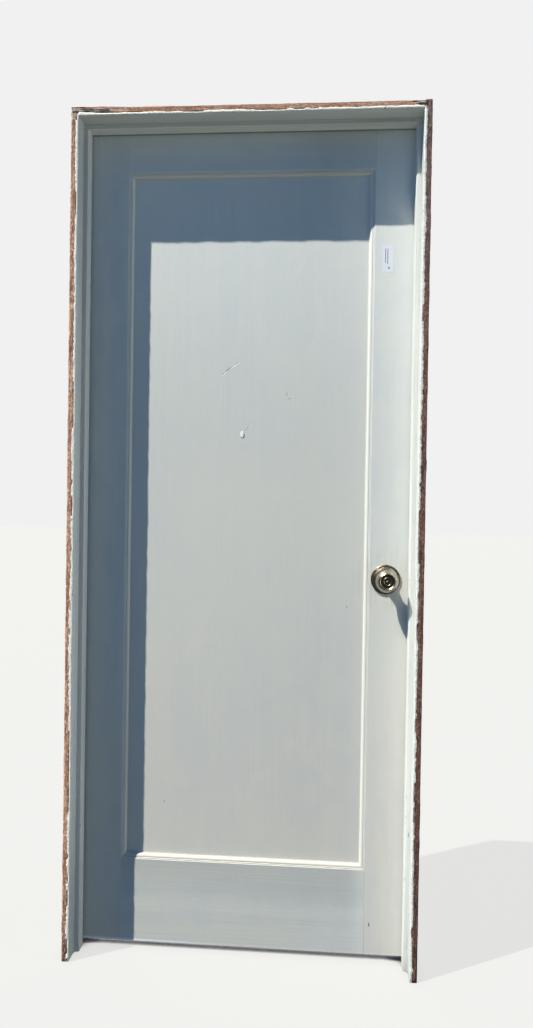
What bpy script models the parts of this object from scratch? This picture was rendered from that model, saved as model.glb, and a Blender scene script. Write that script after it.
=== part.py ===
# Interior door: a flat panel in stiles and rails, hung in its own wooden jamb frame.
# +X runs from the hinge side to the latch side, +Y is the way the door opens, +Z is up.
# The origin is the middle of the hinge jamb's foot, and all sizes are in metres.

import math

import bmesh
import bpy
from mathutils import Matrix, Vector

# Fits
seat = 0.0003
side_gap = 0.0052
top_gap = 0.005
floor_gap = 0.015
stop_gap = 0.005
bearing_gap = 0.0006
overrun = 0.002

# Leaf
leaf_width = 0.813
leaf_height = 2.032
leaf_thickness = 0.035
stile_width = 0.100
top_rail_width = 0.098
bottom_rail_width = 0.208
panel_thickness = 0.013
groove_depth = 0.010
panel_edge_play = 0.0015
edge_bevel_angle = math.radians(3.0)
leaf_arris = 0.0008

# Panel moulding
moulding_width = 0.014
moulding_drop = 0.0008
moulding_bead = 0.0042
moulding_quirk = 0.0013
moulding_fillet = 0.0014

# Jamb frame
jamb_thickness = 0.0175
jamb_depth = 0.116
dado_depth = 0.006
latch_jamb_ear = 0.003
jamb_arris = 0.001
stop_thickness = 0.012
stop_width = 0.032
stop_round = 0.003

# Butt hinges
hinge_height = 0.089
hinge_plate = 0.0022
hinge_let_in = 0.028
pin_offset = 0.008
pin_radius = 0.003
barrel_radius = 0.0055
barrel_clearance = 0.001
knuckle_count = 5
knuckle_gap = 0.0004
pin_head_radius = 0.0048
pin_head_height = 0.003
top_hinge_drop = 0.178
bottom_hinge_rise = 0.279

# Knob set
knob_height = 0.944
backset = 0.0603
rosette_radius = 0.0365
rosette_height = 0.0085
rosette_step = 0.0022
neck_radius = 0.0135
knob_radius = 0.0275
knob_reach = 0.062
knob_root = 0.004
socket_radius = 0.0062
socket_depth = 0.014
face_radius = 0.0178
dish_depth = 0.0018
ring_radius = 0.0092
ring_width = 0.0016
well_radius = 0.0052
well_depth = 0.0014
spindle_side = 0.008
spindle_bore = 0.012

# Latch
latch_plate_height = 0.057
latch_plate_width = 0.025
latch_plate_thickness = 0.0025
bolt_height = 0.016
bolt_width = 0.0125
bolt_length = 0.024
strike_height = 0.057
strike_width = 0.028
strike_thickness = 0.0016
strike_lip_height = 0.032
strike_lip_radius = 0.004
strike_lip_turn = math.radians(60.0)
strike_pocket_depth = 0.010
bolt_clearance = 0.0015
latch_corner = 0.0055

# Round pieces
knob_segments = 40
barrel_segments = 20

# Places worked out from the sizes above
jamb_inner = jamb_thickness / 2
leaf_hinge_edge = jamb_inner + side_gap
leaf_lock_edge = leaf_hinge_edge + leaf_width
latch_inner = leaf_lock_edge + side_gap
frame_front = -jamb_depth / 2
frame_back = jamb_depth / 2
leaf_back = frame_back
leaf_front = leaf_back - leaf_thickness
leaf_middle = (leaf_front + leaf_back) / 2
leaf_bottom = floor_gap
leaf_top = leaf_bottom + leaf_height
soffit = leaf_top + top_gap
head_top = soffit + jamb_thickness
latch_jamb_top = head_top + latch_jamb_ear
stop_back = leaf_front - stop_gap
stop_front = stop_back - stop_width
panel_left = leaf_hinge_edge + stile_width
panel_right = leaf_lock_edge - stile_width
panel_bottom = leaf_bottom + bottom_rail_width
panel_top = leaf_top - top_rail_width
panel_recess = (leaf_thickness - panel_thickness) / 2
pin_x = jamb_inner + side_gap / 2
pin_y = frame_back + pin_offset
knob_x = leaf_lock_edge - backset
top_hinge_z = leaf_top - top_hinge_drop - hinge_height / 2
bottom_hinge_z = leaf_bottom + bottom_hinge_rise + hinge_height / 2
hinge_heights = {
    "top": top_hinge_z,
    "middle": (top_hinge_z + bottom_hinge_z) / 2,
    "bottom": bottom_hinge_z,
}


def make_material(name, colour, roughness, metallic=0.0):
    material = bpy.data.materials.new(name)
    material.use_nodes = True
    shader = material.node_tree.nodes["Principled BSDF"]
    shader.inputs["Base Color"].default_value = (*colour, 1.0)
    shader.inputs["Roughness"].default_value = roughness
    shader.inputs["Metallic"].default_value = metallic
    material.diffuse_color = (*colour, 1.0)
    return material


def add_object(name, shape, material=None, parent=None):
    # Geometry is written in world places, then moved under its parent's origin.
    bmesh.ops.recalc_face_normals(shape, faces=shape.faces)
    origin = parent.location.copy() if parent else Vector((0.0, 0.0, 0.0))
    bmesh.ops.translate(shape, verts=shape.verts, vec=-origin)
    mesh = bpy.data.meshes.new(name)
    shape.to_mesh(mesh)
    shape.free()
    thing = bpy.data.objects.new(name, mesh)
    bpy.context.scene.collection.objects.link(thing)
    if material:
        mesh.materials.append(material)
    if parent:
        thing.parent = parent
    return thing


def add_pivot(name, place, parent=None):
    pivot = bpy.data.objects.new(name, None)
    bpy.context.scene.collection.objects.link(pivot)
    pivot.location = place
    if parent:
        pivot.parent = parent
        pivot.matrix_parent_inverse = Matrix.Translation(-parent.location)
    return pivot


def shade_round(thing, angle=35.0):
    thing.data.shade_smooth()
    thing.data.set_sharp_from_angle(angle=math.radians(angle))


def block(low, high, arris=0.0):
    # A straight board, its corners eased by the arris.
    shape = bmesh.new()
    bmesh.ops.create_cube(shape, size=1.0)
    size = Vector(high) - Vector(low)
    middle = (Vector(high) + Vector(low)) / 2
    bmesh.ops.scale(shape, verts=shape.verts, vec=size)
    bmesh.ops.translate(shape, verts=shape.verts, vec=middle)
    if arris:
        bmesh.ops.bevel(shape, geom=shape.edges[:], offset=arris, segments=1, affect="EDGES")
    return shape


def place_point(axis, along, first, second):
    # An outline's two numbers are (y, z) for axis X and (x, y) for axis Z.
    if axis == "X":
        return Vector((along, first, second))
    return Vector((first, second, along))


def prism(outline, axis, start, end):
    shape = bmesh.new()
    near = [shape.verts.new(place_point(axis, start, *point)) for point in outline]
    far = [shape.verts.new(place_point(axis, end, *point)) for point in outline]
    shape.faces.new(near)
    shape.faces.new(list(reversed(far)))
    count = len(outline)
    for index in range(count):
        following = (index + 1) % count
        shape.faces.new((near[index], near[following], far[following], far[index]))
    return shape


def arc(centre, radius, start, end, steps):
    # Points along a circle, angles in radians.
    turn = (end - start) / steps
    return [
        (centre[0] + radius * math.cos(start + turn * index),
         centre[1] + radius * math.sin(start + turn * index))
        for index in range(steps + 1)
    ]


def turned(profile, axis, centre, segments, closed=False):
    # A profile of (radius, place along the axis), turned about the axis through the centre.
    shape = bmesh.new()
    side = Vector((0.0, 0.0, 1.0)) if axis == "Y" else Vector((1.0, 0.0, 0.0))
    along = Vector((0.0, 1.0, 0.0)) if axis == "Y" else Vector((0.0, 0.0, 1.0))
    base = Vector(centre)
    points = [shape.verts.new(base + side * radius + along * place) for radius, place in profile]
    edges = [shape.edges.new(pair) for pair in zip(points, points[1:])]
    if closed:
        edges.append(shape.edges.new((points[-1], points[0])))
    bmesh.ops.spin(
        shape, geom=points + edges, cent=base, axis=along, angle=math.tau,
        steps=segments, use_merge=True,
    )
    bmesh.ops.remove_doubles(shape, verts=shape.verts, dist=0.000001)
    return shape


def hidden_tool(name, shape, parent=None):
    tool = add_object(name, shape, parent=parent)
    tool.hide_render = True
    tool.display_type = "WIRE"
    return tool


def apply_tool(thing, tool, operation):
    modifier = thing.modifiers.new(tool.name, "BOOLEAN")
    modifier.operation = operation
    modifier.solver = "EXACT"
    modifier.object = tool


def cut(thing, name, shape, parent=None):
    apply_tool(thing, hidden_tool(name, shape, parent), "DIFFERENCE")


def join(thing, name, shape, parent=None):
    apply_tool(thing, hidden_tool(name, shape, parent), "UNION")


# Jamb frame


def gain_box(face, inward, middle_z):
    # The recess that a hinge plate lies in: open at the face and at the back edge.
    depth = hinge_plate + seat
    low_x, high_x = sorted((face - inward * jamb_arris, face + inward * depth))
    half = hinge_height / 2 + seat
    low = (low_x, frame_back - hinge_let_in - seat, middle_z - half)
    high = (high_x, frame_back + barrel_radius, middle_z + half)
    return block(low, high)


def side_jamb(name, low_x, top, wood):
    low = (low_x, frame_front, 0.0)
    high = (low_x + jamb_thickness, frame_back, top)
    return add_object(name, block(low, high, jamb_arris), wood)


def cut_housing(jamb, face, inward, top):
    # Takes the head jamb's end, and runs right through the jamb's depth.
    low_x, high_x = sorted((face - inward * jamb_arris, face + inward * dado_depth))
    low = (low_x, frame_front - jamb_arris, soffit - seat)
    high = (high_x, frame_back + jamb_arris, top)
    cut(jamb, jamb.name + "_housing", block(low, high))


def make_jambs(wood):
    # The hinge jamb is sawn off level with the head, so its housing is open at the top.
    hinge_jamb = side_jamb("hinge_jamb", -jamb_inner, head_top, wood)
    cut_housing(hinge_jamb, jamb_inner, -1, head_top + overrun)
    for place, middle_z in hinge_heights.items():
        cut(hinge_jamb, "jamb_gain_" + place, gain_box(jamb_inner, -1, middle_z))

    latch_jamb = side_jamb("latch_jamb", latch_inner, latch_jamb_top, wood)
    cut_housing(latch_jamb, latch_inner, 1, head_top + seat)
    cut(latch_jamb, "strike_recess", strike_recess())
    cut(latch_jamb, "strike_pocket", strike_pocket())

    head_reach = dado_depth - seat
    low = (jamb_inner - head_reach, frame_front, soffit)
    high = (latch_inner + head_reach, frame_back, head_top)
    add_object("head_jamb", block(low, high, jamb_arris), wood)


def side_stop_outline(face, outward):
    # Seen from above: flat on the jamb, both free corners rounded.
    base = face + outward * seat
    nose = face + outward * stop_thickness
    inner = nose - outward * stop_round
    front_arc = arc((0.0, 0.0), stop_round, math.radians(-90), 0.0, 4)
    back_arc = arc((0.0, 0.0), stop_round, 0.0, math.radians(90), 4)
    points = [(base, stop_front)]
    points += [(inner + outward * x, stop_front + stop_round + y) for x, y in front_arc]
    points += [(inner + outward * x, stop_back - stop_round + y) for x, y in back_arc]
    points.append((base, stop_back))
    return points


def make_stops(wood):
    side_top = soffit - stop_thickness - seat
    hinge_outline = side_stop_outline(jamb_inner, 1)
    latch_outline = side_stop_outline(latch_inner, -1)
    hinge_stop = add_object("hinge_side_stop", prism(hinge_outline, "Z", 0.0, side_top), wood)
    latch_stop = add_object("latch_side_stop", prism(latch_outline, "Z", 0.0, side_top), wood)
    head_outline = [(y, z) for z, y in side_stop_outline(soffit, -1)]
    head_shape = prism(head_outline, "X", jamb_inner + seat, latch_inner - seat)
    head_stop = add_object("head_stop", head_shape, wood)
    for stop in (hinge_stop, latch_stop, head_stop):
        shade_round(stop)


# Strike plate in the latch jamb


def strike_edges():
    # The plate's front and back limits across the jamb.
    return frame_back - strike_width, frame_back


def strike_recess():
    front, back = strike_edges()
    half = strike_height / 2 + seat
    low = (latch_inner - jamb_arris, front - seat, knob_height - half)
    high = (latch_inner + strike_thickness + seat, back + jamb_arris * 2, knob_height + half)
    return block(low, high)


def strike_pocket():
    half_height = bolt_height / 2 + bolt_clearance
    half_width = bolt_width / 2 + bolt_clearance
    low = (latch_inner, leaf_middle - half_width, knob_height - half_height)
    high = (latch_inner + strike_pocket_depth, leaf_middle + half_width, knob_height + half_height)
    return block(low, high)


def make_strike(metal):
    front, back = strike_edges()
    bend = strike_lip_radius
    outer = latch_inner
    turn = strike_lip_turn
    centre = (outer + bend, back)
    visible = arc(centre, bend, math.radians(180), math.radians(180) - turn, 5)
    inside = arc(centre, bend - strike_thickness, math.radians(180) - turn, math.radians(180), 5)
    outline = [(outer, front)] + visible + inside + [(outer + strike_thickness, front)]
    half = strike_height / 2
    low_z = knob_height - half
    high_z = knob_height + half
    strike = add_object("strike_plate", prism(outline, "Z", low_z, high_z), metal)

    lip_half = strike_lip_height / 2
    reach = strike_lip_radius * 2
    shoulder = back - jamb_arris * 3
    for side, name in ((1, "strike_lip_above"), (-1, "strike_lip_below")):
        near_z = knob_height + side * lip_half
        far_z = knob_height + side * (half + overrun)
        low = (outer - reach, shoulder, min(near_z, far_z))
        high = (outer + reach, back + reach, max(near_z, far_z))
        cut(strike, name, block(low, high))
    hole_half_z = bolt_height / 2 + bolt_clearance - seat
    hole_half_y = bolt_width / 2 + bolt_clearance - seat
    low = (outer - reach, leaf_middle - hole_half_y, knob_height - hole_half_z)
    high = (outer + reach, leaf_middle + hole_half_y, knob_height + hole_half_z)
    cut(strike, "strike_hole", block(low, high))
    shade_round(strike, 25.0)


# Butt hinges


def knuckle_spans(middle_z):
    # Low and high ends of the five knuckles, bottom to top.
    bottom = middle_z - hinge_height / 2
    step = hinge_height / knuckle_count
    spans = []
    for index in range(knuckle_count):
        low = bottom + index * step + knuckle_gap / 2
        high = bottom + (index + 1) * step - knuckle_gap / 2
        spans.append((low, high))
    return spans


def barrel(spans, radius):
    shape = bmesh.new()
    for low, high in spans:
        result = bmesh.ops.create_cone(
            shape, cap_ends=True, segments=barrel_segments,
            radius1=radius, radius2=radius, depth=high - low,
        )
        bmesh.ops.translate(
            shape, verts=result["verts"], vec=Vector((pin_x, pin_y, (low + high) / 2)),
        )
    return shape


def hinge_leaf(name, face, inward, own, others, middle_z, metal, parent):
    # A flat plate flush with the wood, cleared round the other leaf's knuckles.
    low_x, high_x = sorted((face, face + inward * hinge_plate))
    half = hinge_height / 2
    low = (low_x, frame_back - hinge_let_in, middle_z - half)
    high = (high_x, pin_y, middle_z + half)
    leaf = add_object(name, block(low, high), metal, parent)

    clear_y = pin_y - barrel_radius - barrel_clearance
    notches = bmesh.new()
    for span_low, span_high in others:
        notch_low = (low_x - overrun, clear_y, span_low - knuckle_gap)
        notch_high = (high_x + overrun, pin_y + overrun, span_high + knuckle_gap)
        size = Vector(notch_high) - Vector(notch_low)
        middle = (Vector(notch_high) + Vector(notch_low)) / 2
        result = bmesh.ops.create_cube(notches, size=1.0)
        bmesh.ops.scale(notches, verts=result["verts"], vec=size)
        bmesh.ops.translate(notches, verts=result["verts"], vec=middle)
    cut(leaf, name + "_notches", notches, parent)
    join(leaf, name + "_knuckles", barrel(own, barrel_radius), parent)
    full = [(middle_z - hinge_height, middle_z + hinge_height)]
    cut(leaf, name + "_bore", barrel(full, pin_radius + seat), parent)
    shade_round(leaf)


def hinge_pin(name, middle_z, metal):
    # A straight pin with a domed head above the top knuckle and a rounded tip below.
    half = hinge_height / 2
    head = half + seat
    tip = -half - pin_radius
    profile = [(0.0, tip), (pin_radius * 0.7, tip), (pin_radius, tip + pin_radius * 0.3)]
    profile += [(pin_radius, head), (pin_head_radius, head)]
    rim = head + pin_head_height * 0.4
    for x, y in arc((0.0, 0.0), 1.0, 0.0, math.radians(90), 4)[:-1]:
        profile.append((pin_head_radius * x, rim + pin_head_height * 0.6 * y))
    profile.append((0.0, head + pin_head_height))
    pin = add_object(name, turned(profile, "Z", (pin_x, pin_y, middle_z), barrel_segments), metal)
    shade_round(pin)


def make_hinges(metal, door_pivot):
    for place, middle_z in hinge_heights.items():
        spans = knuckle_spans(middle_z)
        jamb_spans = spans[0::2]
        door_spans = spans[1::2]
        hinge_leaf(place + "_jamb_hinge_leaf", jamb_inner, -1, jamb_spans, door_spans,
                   middle_z, metal, None)
        hinge_leaf(place + "_door_hinge_leaf", leaf_hinge_edge, 1, door_spans, jamb_spans,
                   middle_z, metal, door_pivot)
        hinge_pin(place + "_hinge_pin", middle_z, metal)


# Leaf


def groove_mouth():
    # Front and back sides of the panel groove.
    half = panel_thickness / 2 + seat
    return leaf_middle - half, leaf_middle + half


def lock_edge_at(y):
    # The lock edge is planed back towards the stops, so it clears the jamb as it swings.
    return leaf_lock_edge - (leaf_back - y) * math.tan(edge_bevel_angle)


def stile_outline(outer_front, outer_back, inner, inward):
    # Seen from above: eased corners, and the panel groove in the inner edge.
    low_y, high_y = groove_mouth()
    eased = leaf_arris
    groove = inner - inward * groove_depth
    return [
        (outer_front + inward * eased, leaf_front),
        (inner, leaf_front),
        (inner, low_y),
        (groove, low_y),
        (groove, high_y),
        (inner, high_y),
        (inner, leaf_back),
        (outer_back + inward * eased, leaf_back),
        (outer_back, leaf_back - eased),
        (outer_front, leaf_front + eased),
    ]


def make_stiles(wood, door_pivot):
    outline = stile_outline(leaf_hinge_edge, leaf_hinge_edge, panel_left, 1)
    shape = prism(outline, "Z", leaf_bottom, leaf_top)
    hinge_stile = add_object("hinge_stile", shape, wood, door_pivot)
    for place, middle_z in hinge_heights.items():
        gain = gain_box(leaf_hinge_edge, 1, middle_z)
        cut(hinge_stile, "stile_gain_" + place, gain, door_pivot)

    outline = stile_outline(lock_edge_at(leaf_front), lock_edge_at(leaf_back), panel_right, -1)
    shape = prism(outline, "Z", leaf_bottom, leaf_top)
    lock_stile = add_object("lock_stile", shape, wood, door_pivot)
    bore = [(spindle_bore, leaf_front - overrun), (spindle_bore, leaf_back + overrun)]
    profile = [(0.0, bore[0][1])] + bore + [(0.0, bore[1][1])]
    centre = (knob_x, 0.0, knob_height)
    cut(lock_stile, "spindle_bore", turned(profile, "Y", centre, knob_segments), door_pivot)
    cut(lock_stile, "latch_mortise", latch_plate_shape(seat, overrun, seat), door_pivot)
    cut(lock_stile, "bolt_mortise", bolt_box(seat, 0.0, seat), door_pivot)


def make_rail(name, low_z, high_z, groove_z, wood, door_pivot):
    # A rail butts the stiles, and its tongues fill the stiles' grooves.
    low_y, high_y = groove_mouth()
    inner_z, outer_z = (high_z, low_z) if groove_z > low_z else (low_z, high_z)
    inward = 1 if inner_z > outer_z else -1
    floor_z = inner_z - inward * groove_depth
    outline = [
        (leaf_front, outer_z), (leaf_back, outer_z), (leaf_back, inner_z), (high_y, inner_z),
        (high_y, floor_z), (low_y, floor_z), (low_y, inner_z), (leaf_front, inner_z),
    ]
    left = panel_left + seat
    right = panel_right - seat
    rail = add_object(name, prism(outline, "X", left, right), wood, door_pivot)
    tongue_low, tongue_high = sorted((outer_z, floor_z - inward * seat))
    reach = groove_depth - seat * 2
    for side, end in (("left", left), ("right", right)):
        outward = -1 if side == "left" else 1
        low_x, high_x = sorted((end - outward * overrun, end + outward * reach))
        low = (low_x, low_y + seat, tongue_low)
        high = (high_x, high_y - seat, tongue_high)
        join(rail, name + "_tongue_" + side, block(low, high), door_pivot)


def make_panel(wood, door_pivot):
    inset = groove_depth - panel_edge_play
    low = (panel_left - inset, leaf_front + panel_recess, panel_bottom - inset)
    high = (panel_right + inset, leaf_back - panel_recess, panel_top + inset)
    add_object("panel", block(low, high), wood, door_pivot)


def moulding_profile():
    # Pairs of (distance in from the frame, height above the panel): a small bead beside
    # the frame, a quirk, an ovolo falling towards the panel and a fillet at its foot.
    top = panel_recess - moulding_drop
    bead = moulding_bead / 2
    half_turn = math.radians(180)
    points = [(seat, seat)]
    points += [(seat + bead + x, top - bead + y) for x, y in arc((0.0, 0.0), bead, half_turn, 0.0, 6)]
    start = seat + moulding_bead
    points.append((start + moulding_quirk * 0.25, top - moulding_quirk - bead * 0.6))
    start += moulding_quirk * 0.5
    foot = moulding_width - moulding_fillet
    high = top - moulding_quirk
    for x, y in arc((0.0, 0.0), 1.0, math.radians(90), 0.0, 6):
        points.append((start + (foot - start) * x, moulding_fillet + (high - moulding_fillet) * y))
    points.append((moulding_width, moulding_fillet * 0.9))
    points.append((moulding_width, seat))
    return points


def moulding_piece(name, side, facing, wood, door_pivot):
    # One mitred length. Facing is -1 on the front of the leaf and 1 on its back.
    panel_face = leaf_middle + facing * panel_thickness / 2
    near = []
    far = []
    shape = bmesh.new()
    for across, height in moulding_profile():
        y = panel_face + facing * height
        slip = across + seat
        if side in ("left", "right"):
            x = panel_left + across if side == "left" else panel_right - across
            ends = ((x, y, panel_bottom + slip), (x, y, panel_top - slip))
        else:
            z = panel_bottom + across if side == "bottom" else panel_top - across
            ends = ((panel_left + slip, y, z), (panel_right - slip, y, z))
        near.append(shape.verts.new(ends[0]))
        far.append(shape.verts.new(ends[1]))
    shape.faces.new(near)
    shape.faces.new(list(reversed(far)))
    count = len(near)
    for index in range(count):
        following = (index + 1) % count
        shape.faces.new((near[index], near[following], far[following], far[index]))
    shade_round(add_object(name, shape, wood, door_pivot))


def make_mouldings(wood, door_pivot):
    for face, facing in (("front", -1), ("back", 1)):
        for side in ("left", "right", "top", "bottom"):
            moulding_piece(face + "_moulding_" + side, side, facing, wood, door_pivot)


# Latch


def edge_tilt():
    return Matrix.Rotation(-edge_bevel_angle, 3, "Z")


def edge_centre():
    return Vector((lock_edge_at(leaf_middle), leaf_middle, knob_height))


def tilted(shape):
    bmesh.ops.rotate(shape, verts=shape.verts, cent=Vector((0.0, 0.0, 0.0)), matrix=edge_tilt())
    bmesh.ops.translate(shape, verts=shape.verts, vec=edge_centre())
    return shape


def rounded_outline(half_width, half_height, radius, steps=5):
    points = []
    corners = ((1, 1, 0), (-1, 1, 90), (-1, -1, 180), (1, -1, 270))
    for side_x, side_y, start in corners:
        centre = (side_x * (half_width - radius), side_y * (half_height - radius))
        points += arc(centre, radius, math.radians(start), math.radians(start + 90), steps)
    return points


def latch_plate_shape(margin, proud, behind):
    half_y = latch_plate_width / 2 + margin
    half_z = latch_plate_height / 2 + margin
    outline = rounded_outline(half_y, half_z, latch_corner + margin)
    return tilted(prism(outline, "X", -latch_plate_thickness - behind, proud))


def bolt_box(margin, proud, behind):
    half_y = bolt_width / 2 + margin
    half_z = bolt_height / 2 + margin
    low = (-bolt_length - behind, -half_y, -half_z)
    high = (proud, half_y, half_z)
    return tilted(block(low, high))


def make_latch(metal, door_pivot):
    plate = add_object("latch_face_plate", latch_plate_shape(0.0, 0.0, 0.0), metal, door_pivot)
    cut(plate, "latch_plate_hole", bolt_box(seat, overrun, 0.0), door_pivot)

    # The bolt is drawn back flush, with its slanted nose towards the stops.
    half_y = bolt_width / 2
    half_z = bolt_height / 2
    nose = bolt_width * 0.55
    tip = -seat
    outline = [
        (-bolt_length, -half_y), (-nose, -half_y), (tip, half_y * 0.55),
        (tip, half_y), (-bolt_length, half_y),
    ]
    shape = tilted(prism(outline, "Z", -half_z, half_z))
    add_object("latch_bolt", shape, metal, door_pivot)


# Knob set


def rosette_profile():
    # Closed section of the ring: pairs of (radius, height above the leaf's face).
    bore = neck_radius + bearing_gap
    rim = rosette_radius
    bead = rosette_step * 0.7
    shoulder = rim * 0.86
    collar = rim * 0.50
    top = rosette_height
    points = [(bore, seat), (rim - bead * 0.4, seat), (rim, seat + bead * 0.4)]
    points += arc((rim - bead, bead), bead, 0.0, math.radians(90), 4)
    points += [(shoulder, bead * 2), (shoulder - bead * 0.8, bead * 1.7)]
    # A dome rises from the step to the collar.
    low = bead * 1.7
    high = top * 0.78
    outer = shoulder - bead * 0.8
    inner = collar + bead * 0.5
    for step in range(1, 6):
        part = step / 5
        rise = math.sin(part * math.pi / 2)
        points.append((outer + (inner - outer) * part, low + (high - low) * rise))
    points += [(collar, top * 0.84), (collar - bead * 0.5, top)]
    points += [(bore + bead * 0.4, top), (bore, top - bead * 0.4)]
    return points


def knob_profile():
    # Pairs of (radius, distance from the leaf's face), from the socket round to the nose.
    start = knob_root
    neck = neck_radius
    points = [(0.0, start + socket_depth), (socket_radius, start + socket_depth)]
    points += [(socket_radius, start), (neck, start), (neck, start + neck * 0.65)]
    points += [(neck * 0.86, start + neck * 0.9), (neck * 0.80, start + neck * 1.2)]
    points.append((neck * 0.92, start + neck * 1.4))

    # The ball, a little flatter than round, cut off where its face begins.
    flat = 0.86
    face_turn = math.acos((face_radius + dish_depth * 0.6) / knob_radius)
    middle = knob_reach - knob_radius * flat * math.sin(face_turn)
    for x, y in arc((0.0, 0.0), knob_radius, math.radians(-52), face_turn, 12):
        points.append((x, middle + y * flat))

    # The face: a rolled rim, a shallow dish, a raised ring and a well with a small boss.
    nose = knob_reach
    dish = nose - dish_depth
    points += [(face_radius, nose), (face_radius - dish_depth * 0.4, nose - dish_depth * 0.3)]
    points += [(face_radius - dish_depth * 1.2, dish), (ring_radius + ring_width, dish)]
    points += [(ring_radius + ring_width * 0.3, nose - dish_depth * 0.25)]
    points += [(ring_radius - ring_width * 0.3, nose - dish_depth * 0.2)]
    points += [(ring_radius - ring_width, nose - dish_depth * 0.6)]
    points += [(well_radius, nose - well_depth), (well_radius * 0.5, nose - well_depth)]
    points += [(well_radius * 0.35, nose - well_depth * 0.4), (0.0, nose - well_depth * 0.3)]
    return points


def make_knobs(metal, door_pivot, knob_pivot):
    sides = (("front", leaf_front, -1), ("back", leaf_back, 1))
    for name, face, outward in sides:
        centre = (knob_x, face, knob_height)
        ring = [(radius, outward * height) for radius, height in rosette_profile()]
        shape = turned(ring, "Y", centre, knob_segments, closed=True)
        shade_round(add_object(name + "_rosette", shape, metal, door_pivot))
        ball = [(radius, outward * height) for radius, height in knob_profile()]
        shape = turned(ball, "Y", centre, knob_segments)
        shade_round(add_object(name + "_knob", shape, metal, knob_pivot))

    half = spindle_side / 2
    reach = knob_root + socket_depth - seat
    low = (knob_x - half, leaf_front - reach, knob_height - half)
    high = (knob_x + half, leaf_back + reach, knob_height + half)
    add_object("spindle", block(low, high), metal, knob_pivot)


def build():
    for thing in list(bpy.data.objects):
        bpy.data.objects.remove(thing, do_unlink=True)

    frame_paint = make_material("frame_paint", (0.78, 0.79, 0.76), 0.55)
    leaf_paint = make_material("leaf_paint", (0.76, 0.78, 0.76), 0.5)
    satin_nickel = make_material("satin_nickel", (0.62, 0.59, 0.54), 0.32, 1.0)
    hinge_steel = make_material("hinge_steel", (0.55, 0.52, 0.46), 0.38, 1.0)

    door_pivot = add_pivot("door_pivot", Vector((pin_x, pin_y, 0.0)))
    knob_pivot = add_pivot("knob_pivot", Vector((knob_x, leaf_middle, knob_height)), door_pivot)

    make_jambs(frame_paint)
    make_stops(frame_paint)
    make_strike(hinge_steel)
    make_hinges(hinge_steel, door_pivot)
    make_stiles(leaf_paint, door_pivot)
    make_rail("top_rail", panel_top, leaf_top, panel_top, leaf_paint, door_pivot)
    make_rail("bottom_rail", leaf_bottom, panel_bottom, panel_bottom, leaf_paint, door_pivot)
    make_panel(leaf_paint, door_pivot)
    make_mouldings(leaf_paint, door_pivot)
    make_latch(satin_nickel, door_pivot)
    make_knobs(satin_nickel, door_pivot, knob_pivot)


build()
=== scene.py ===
# Looks of a salvaged flat-panel door that still hangs in its own jambs.
import math

import bpy
from mathutils import Matrix, Vector, noise


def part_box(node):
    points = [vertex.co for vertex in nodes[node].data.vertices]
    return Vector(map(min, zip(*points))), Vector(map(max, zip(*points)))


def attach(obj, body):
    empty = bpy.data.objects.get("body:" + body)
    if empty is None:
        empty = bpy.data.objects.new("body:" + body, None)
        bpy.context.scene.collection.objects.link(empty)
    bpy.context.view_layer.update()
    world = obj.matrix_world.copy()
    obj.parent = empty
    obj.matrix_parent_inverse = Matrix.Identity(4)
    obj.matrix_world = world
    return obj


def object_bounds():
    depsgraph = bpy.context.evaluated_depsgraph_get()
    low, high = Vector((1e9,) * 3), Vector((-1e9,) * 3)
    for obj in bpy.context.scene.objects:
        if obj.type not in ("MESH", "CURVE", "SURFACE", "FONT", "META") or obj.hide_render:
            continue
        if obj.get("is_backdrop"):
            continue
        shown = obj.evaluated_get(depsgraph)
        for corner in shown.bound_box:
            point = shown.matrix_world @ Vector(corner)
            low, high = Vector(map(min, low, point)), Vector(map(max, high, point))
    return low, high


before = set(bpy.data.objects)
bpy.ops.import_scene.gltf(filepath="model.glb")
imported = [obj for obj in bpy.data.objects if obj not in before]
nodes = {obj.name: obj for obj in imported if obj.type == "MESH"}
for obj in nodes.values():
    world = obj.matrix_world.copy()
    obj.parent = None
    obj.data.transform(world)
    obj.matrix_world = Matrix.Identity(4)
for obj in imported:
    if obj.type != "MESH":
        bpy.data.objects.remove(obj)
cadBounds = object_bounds()
print("door loaded:", len(nodes), "nodes")

# Places read off the frame
hingeJambLow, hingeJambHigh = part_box("hinge_jamb")
latchJambLow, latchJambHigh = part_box("latch_jamb")
headLow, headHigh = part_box("head_jamb")
hingeStileLow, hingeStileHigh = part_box("hinge_stile")
lockStileLow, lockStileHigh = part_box("lock_stile")
topRailLow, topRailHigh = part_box("top_rail")
bottomRailLow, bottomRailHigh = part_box("bottom_rail")
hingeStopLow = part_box("hinge_side_stop")[0]
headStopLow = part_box("head_stop")[0]
knobLow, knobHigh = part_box("front_knob")
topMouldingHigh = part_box("front_moulding_top")[1]
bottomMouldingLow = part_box("front_moulding_bottom")[0]
frontEdge = hingeJambLow.y
backEdge = hingeJambHigh.y
hingeReveal = hingeJambHigh.x
latchReveal = latchJambLow.x
soffit = headLow.z
leafFront = lockStileLow.y
leafMiddle = (lockStileLow.y + lockStileHigh.y) / 2
leafHinge = hingeStileLow.x
leafFoot = hingeStileLow.z
knobX = (knobLow.x + knobHigh.x) / 2
knobZ = (knobLow.z + knobHigh.z) / 2


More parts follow.
